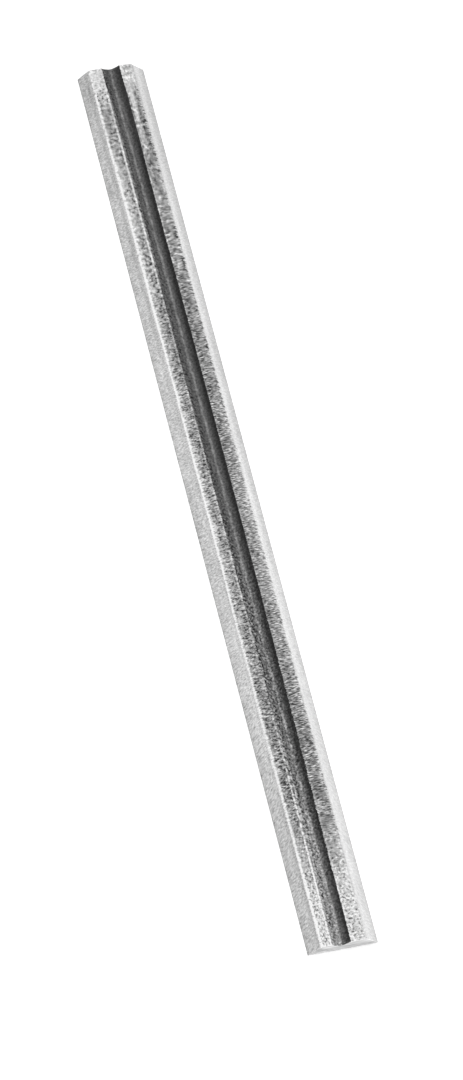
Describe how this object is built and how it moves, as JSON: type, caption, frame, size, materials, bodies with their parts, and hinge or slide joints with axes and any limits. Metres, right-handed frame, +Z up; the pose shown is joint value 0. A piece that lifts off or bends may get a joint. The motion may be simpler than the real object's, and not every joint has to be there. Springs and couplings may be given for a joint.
{
  "type": "planer knife",
  "caption": "Reversible carbide planer knife: a thin bar with ground bevels along both long edges and a shallow locating groove down its narrow face.",
  "frame": {"origin": "middle of the ground back face, on which the knife lies", "axes": "+X along the knife, +Y across it towards one cutting edge, +Z up out of the narrow grooved face"},
  "size_m": [0.082, 0.0054, 0.0011],
  "materials": {
    "carbide": "ground satin grey on the bevels, back and ends; mottled as sintered on the lands; dark in the groove"
  },
  "bodies": {
    "root": {"knife": "carbide"}
  },
  "joints": []
}
